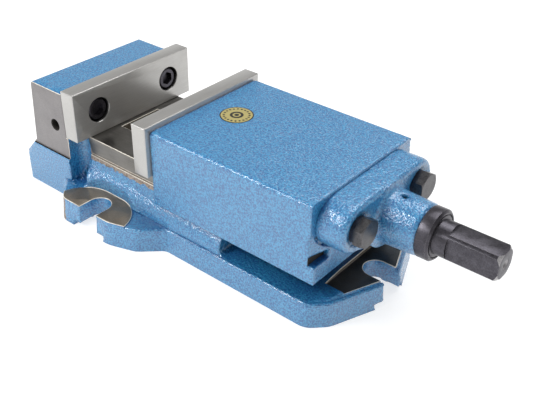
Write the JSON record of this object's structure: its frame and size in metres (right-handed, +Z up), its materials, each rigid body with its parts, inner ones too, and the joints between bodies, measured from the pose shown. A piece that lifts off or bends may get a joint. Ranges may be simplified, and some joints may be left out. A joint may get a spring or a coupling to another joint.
{
  "type": "machine vise",
  "caption": "Milling machine vise with a cast bolt-down base, a fixed jaw, a hooded sliding jaw and a screw spindle with a square drive end.",
  "frame": {"origin": "on the underside of the base, on the centreline, below the fixed jaw's clamping face", "axes": "+X along the spindle towards its drive end, +Y across the vise towards the far side, +Z up"},
  "size_m": [0.401, 0.174, 0.098],
  "materials": {
    "casting": "painted, fine hammered texture",
    "jaw_steel": "ground",
    "black_steel": "black oxide",
    "plain_steel": "turned",
    "bronze": "turned"
  },
  "bodies": {
    "base": {"base_casting": "casting", "fixed_jaw_plate": "jaw_steel", "fixed_jaw_screw_near": "black_steel", "fixed_jaw_screw_far": "black_steel", "spindle_nut": "bronze", "nut_screw_near": "black_steel", "nut_screw_far": "black_steel"},
    "carriage": {"moving_jaw": "casting", "moving_jaw_plate": "jaw_steel", "moving_jaw_screw_near": "black_steel", "moving_jaw_screw_far": "black_steel", "keeper_plate": "plain_steel", "keeper_screw_1": "black_steel", "keeper_screw_2": "black_steel", "keeper_screw_3": "black_steel", "keeper_screw_4": "black_steel", "bracket": "casting", "bracket_bush": "bronze", "bracket_bolt_near": "black_steel", "bracket_bolt_far": "black_steel", "bracket_washer_near": "black_steel", "bracket_washer_far": "black_steel"},
    "spindle": {"spindle": "black_steel", "lock_ring": "plain_steel", "lock_pin": "plain_steel", "thrust_washer": "plain_steel"}
  },
  "joints": [
    {"name": "jaw_slide", "type": "slide", "parent": "base", "child": "carriage", "axis": [1, 0, 0], "range_m": [-0.0647, 0.025]},
    {"name": "spindle_turn", "type": "hinge", "parent": "carriage", "child": "spindle", "pos_m": [0.25, 0, 0.0685], "axis": [1, 0, 0], "range_deg": [-4660, 1801]}
  ],
  "couplings": [
    {"joint": "spindle_turn", "follows": "jaw_slide", "rad_per_m": 1256.6}
  ]
}
